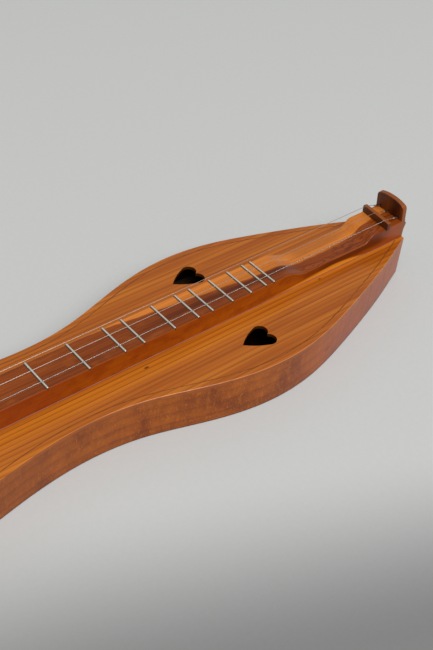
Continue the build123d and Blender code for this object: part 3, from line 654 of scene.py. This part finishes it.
BEAD_RADIUS = 0.16 * MM
BEAD_WOBBLE = 0.34 * MM
BEAD_HEIGHT = BOARD_TOP + 0.10 * MM
bead_ends = (FRET_LOW[0] + 1.5 * MM, PLATE_INNER_FACE - 1.0 * MM)
feet = [(x, side * FRETBOARD_HALF, BEAD_HEIGHT) for side in (-1, 1) for x in bead_ends]
glue = bead_jig().run("glue_bead", feet, [(0, 1), (2, 3)], Radius=BEAD_RADIUS, Wobble=BEAD_WOBBLE,
                      Seed=4, Finish=old_glue())
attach(glue, "root")

# %% [markdown]
# A fret slot is sawn right across the board, so its open end shows on each flank. The maker packs it
# with dark filler. Along the foot of each fret, on both sides, a thin dark line is painted as the
# fret's shadow on the board. One jig serves both: it sets a block on every point and lets its size
# vary a little.

# %% Filled slot ends and the painted shadows beside the frets
def block_jig():
    jig = Jig("blocks", Size="Vector", Vary="Float")
    given = jig.given
    places = jig.node("GeometryNodeMeshToPoints", {}, {"Mesh": given["Geometry"]})
    block = jig.node("GeometryNodeMeshCube", {}, {"Size": given["Size"]})
    less = jig.node("ShaderNodeMath", {"operation": "SUBTRACT"}, {0: 1.0, 1: given["Vary"]})
    values = {2: less, 3: 1.0, "Seed": given["Seed"]}
    size = jig.node("FunctionNodeRandomValue", {"data_type": "FLOAT"}, values, 1)
    values = {"Points": places, "Instance": block, "Scale": size}
    jig.end(jig.node("GeometryNodeInstanceOnPoints", {}, values))
    return jig


# The same dark filler colour also serves as the painted shadow beside the frets.
def filler():
    m = Bench("slot_filler", IOR=1.45, Specular_IOR_Level=0.3)
    speck = m.noise(m.vector(m.x * 800.0, m.y * 800.0, m.z * 800.0), detail=2.0)
    return m.finish(m.blend(speck, (0.020, 0.010, 0.0060), (0.070, 0.030, 0.0150)), 0.5 + speck * 0.2)


FILLER_AND_SHADOW = filler()
SLOT_END = (0.75 * MM, 0.08 * MM, 1.9 * MM)
FRET_SHADOW_LINE = (0.50 * MM, 32.2 * MM, 0.08 * MM)
fret_boxes = [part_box(name) for name in frame["nodes"] if name.startswith("fret_")]
blocks = block_jig()

ends = [((low[0] + high[0]) / 2, side * FRETBOARD_HALF, FRETBOARD_TOP - SLOT_END[2] / 2)
        for low, high in fret_boxes for side in (-1, 1)]
slots = blocks.run("slot_ends", ends, Size=SLOT_END, Vary=0.2, Seed=11, Finish=FILLER_AND_SHADOW)
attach(slots, "root")

# Painted shadow: a thin dark block along each side of every fret's foot.
feet = [(x, 0.0, FRETBOARD_TOP)
        for low, high in fret_boxes for x in (low[0] - 0.14 * MM, high[0] + 0.04 * MM)]
fret_shadow_lines = blocks.run("fret_lines", feet, Size=FRET_SHADOW_LINE, Vary=0.0, Seed=12, Finish=FILLER_AND_SHADOW)
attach(fret_shadow_lines, "root")

# %% [markdown]
# The frame keeps each winding as a plain sleeve. Here the sleeve is replaced by the wire itself,
# wound four times round the peg, so that the band is five wires wide. The jig draws a spiral as high
# as the winding is wide, sweeps a round section along it, and lays it down along the peg. Each coil
# turns with its own peg.

# %% Coils on the pegs
def coil_jig():
    jig = Jig("coil", Turns="Float", Core="Float", Wire="Float", Width="Float", Lay="Rotation", Steps="Int")
    given = jig.given
    values = {"Resolution": given["Steps"], "Rotations": given["Turns"], "Start Radius": given["Core"],
              "End Radius": given["Core"], "Height": given["Width"]}
    spiral = jig.node("GeometryNodeCurveSpiral", {}, values)
    section = jig.node("GeometryNodeCurvePrimitiveCircle", {}, {"Resolution": 12, "Radius": given["Wire"]})
    values = {"Curve": spiral, "Profile Curve": section, "Fill Caps": True}
    wire = jig.node("GeometryNodeCurveToMesh", {}, values)
    places = jig.node("GeometryNodeMeshToPoints", {}, {"Mesh": given["Geometry"]})
    values = {"Points": places, "Instance": wire, "Rotation": given["Lay"]}
    jig.end(jig.node("GeometryNodeInstanceOnPoints", {}, values))
    return jig


TURNS_ON_PEG = 4.0
ALONG_THE_PEG = (math.radians(90), 0.0, 0.0)
coils = coil_jig()
for string, finish in (("bass", WOUND), ("middle", STEEL), ("melody", STEEL)):
    low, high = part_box("winding_" + string)
    width = high[1] - low[1]
    wire = width / (2 * (TURNS_ON_PEG + 1))
    outside = (high[2] - low[2]) / 2
    at = ((low[0] + high[0]) / 2, high[1] - wire, (low[2] + high[2]) / 2)
    coil = coils.run("coil_" + string, [at], Turns=TURNS_ON_PEG, Core=outside - wire, Wire=wire,
                     Width=width - 2 * wire, Lay=ALONG_THE_PEG, Steps=48, Seed=1, Finish=finish)
    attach(coil, "peg_" + string + "_body")
    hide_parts("winding_" + string)

# %% [markdown]
# At the tail each string is doubled back round its ball and twisted on itself, so a hair of wire
# spirals round the last eight millimetres in front of the plate. The same jig makes it with thinner
# wire and a longer pitch, and lays it along the string, from its hole in the plate towards its notch
# in the bridge.

# %% Twisted ends by the plate
BRIDGE_NOTCHES = {"bass": -12.05 * MM, "middle": 1.45 * MM, "melody": 13.55 * MM}
TWIST = {"Turns": 7.0, "Core": 0.50 * MM, "Wire": 0.15 * MM, "Width": 7.6 * MM, "Steps": 24}
for string, across in BRIDGE_NOTCHES.items():
    low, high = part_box("ball_end_" + string)
    hole = Vector((BODY_TAIL - PLATE_THICKNESS, (low[1] + high[1]) / 2, (low[2] + high[2]) / 2))
    over = Vector((BRIDGE_LINE, across, BRIDGE_HIGH[2] - 0.2 * MM))
    along = (over - hole).normalized()
    lay = Vector((0, 0, 1)).rotation_difference(along).to_euler()
    twist = coils.run("twist_" + string, [hole + along * 1.0 * MM], Lay=tuple(lay), Seed=2,
                      Finish=STEEL, **TWIST)
    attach(twist, "root")

# %% [markdown]
# ## The room
# The instrument lies on a sheet of pale paper. The paper is pale, with one soft painted shadow mixed
# into its colour in front of the tail half. Nothing in the scene casts it, so it shows from every
# side. The paper is larger than the instrument, but a low view still reaches its far edge.

# %% Floor
FLOOR_HALF = 6.0
FLOOR_GAP = 0.2 * MM
PATCH_ALONG, PATCH_TOWARDS = 0.22, 0.26


def floor_paper():
    m = Bench("floor_paper", IOR=1.45, Specular_IOR_Level=0.1, Roughness=0.9)
    towards = m.x * -0.398 - m.y * 0.917
    along = m.x * 0.917 - m.y * 0.398
    off_along, off_towards = along - PATCH_ALONG, towards - PATCH_TOWARDS
    reach = (off_along * off_along + off_towards * off_towards * 0.8).math("SQRT")
    # Painted shadow: a soft dark patch in front of the tail half.
    shaded = m.step(towards, 0.050, 0.210) * m.step(reach, 0.16, 0.74, 1.0, 0.0)
    fluff = m.noise(m.vector(m.x * 240.0, m.y * 240.0, 0.0), detail=4.0, roughness=0.7)
    paper = m.blend(fluff, (0.485, 0.492, 0.483), (0.525, 0.532, 0.523))
    tone = m.blend(shaded * 0.62, paper, (0.001, 0.001, 0.0012))
    return m.finish(tone, bump=fluff, bump_depth=0.00004)


floor_mesh = bpy.data.meshes.new("floor")
corners = [(x * FLOOR_HALF, y * FLOOR_HALF, -FLOOR_GAP) for x, y in ((-1, -1), (1, -1), (1, 1), (-1, 1))]
floor_mesh.from_pydata(corners, [], [(0, 1, 2, 3)])
floor = bpy.data.objects.new("floor", floor_mesh)
bpy.context.scene.collection.objects.link(floor)
dress(floor, floor_paper())
print("floor", 2 * FLOOR_HALF, "m square")

# %% [markdown]
# One very large soft light stands high on the player's side, with a weak even fill all round. The
# light is large so that shadows have no edge. It is kept out of the place where the varnish would
# mirror it to the camera, because a mirrored lamp washes the colour out of the wood, and far enough
# off to light the paper evenly.

# %% Light
def soft_light(name, place, target, size, power):
    lamp = bpy.data.lights.new(name, "AREA")
    lamp.shape = "RECTANGLE"
    lamp.size, lamp.size_y = size
    lamp.energy = power
    thing = bpy.data.objects.new(name, lamp)
    aim = Vector(target) - Vector(place)
    thing.matrix_world = Matrix.Translation(place) @ aim.to_track_quat("-Z", "Y").to_matrix().to_4x4()
    bpy.context.scene.collection.objects.link(thing)


KEY_PLACE, KEY_TARGET = (-0.60, -3.30, 5.60), (0.30, 0.0, 0.0)
KEY_SIZE = (4.8, 4.8)
KEY_POWER = 455.0
FILL_STRENGTH = 0.36
soft_light("key", KEY_PLACE, KEY_TARGET, KEY_SIZE, KEY_POWER)
world = bpy.data.worlds.new("room")
world.use_nodes = True
fill = world.node_tree.nodes["Background"].inputs
fill["Color"].default_value = (1.0, 1.0, 1.0, 1.0)
fill["Strength"].default_value = FILL_STRENGTH
bpy.context.scene.world = world
bpy.context.scene.view_settings.view_transform = "Standard"
print("key light", KEY_POWER, "W at", KEY_PLACE, "fill", FILL_STRENGTH)

# %% [markdown]
# The camera stands off the head's near side and looks down at 41 degrees towards the tail, tilted by
# a few degrees as a hand-levelled tripod is. Its place is given in the frame's own axes from one
# fixed point: the line where the string length ends, at the height of the fret crowns.

# %% Camera
AZIMUTH = math.radians(-42.93)
ELEVATION = math.radians(41.17)
ROLL = math.radians(5.80)
FOCAL_LENGTH = 56.69
SENSOR_WIDTH = 36.0
STRING_LENGTH_END = Vector((BODY_TAIL - 29.65 * MM, 0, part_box("fret_09")[1][2]))
EYE_FROM_THERE = Vector((-0.6234, -0.4782, 0.5330))

level = Vector((math.sin(AZIMUTH), -math.cos(AZIMUTH), 0)) * math.cos(ELEVATION)
back = level + Vector((0, 0, math.sin(ELEVATION)))
level_right = (-back).cross(Vector((0, 0, 1))).normalized()
level_up = level_right.cross(-back)
right = math.cos(ROLL) * level_right + math.sin(ROLL) * level_up
up = -math.sin(ROLL) * level_right + math.cos(ROLL) * level_up
lens = bpy.data.cameras.new("camera")
lens.lens = FOCAL_LENGTH
lens.sensor_width = SENSOR_WIDTH
camera = bpy.data.objects.new("camera", lens)
basis = Matrix((right, up, back)).transposed().to_4x4()
camera.matrix_world = Matrix.Translation(STRING_LENGTH_END + EYE_FROM_THERE) @ basis
bpy.context.scene.collection.objects.link(camera)
bpy.context.scene.camera = camera
print("camera at", [round(c, 4) for c in camera.location])
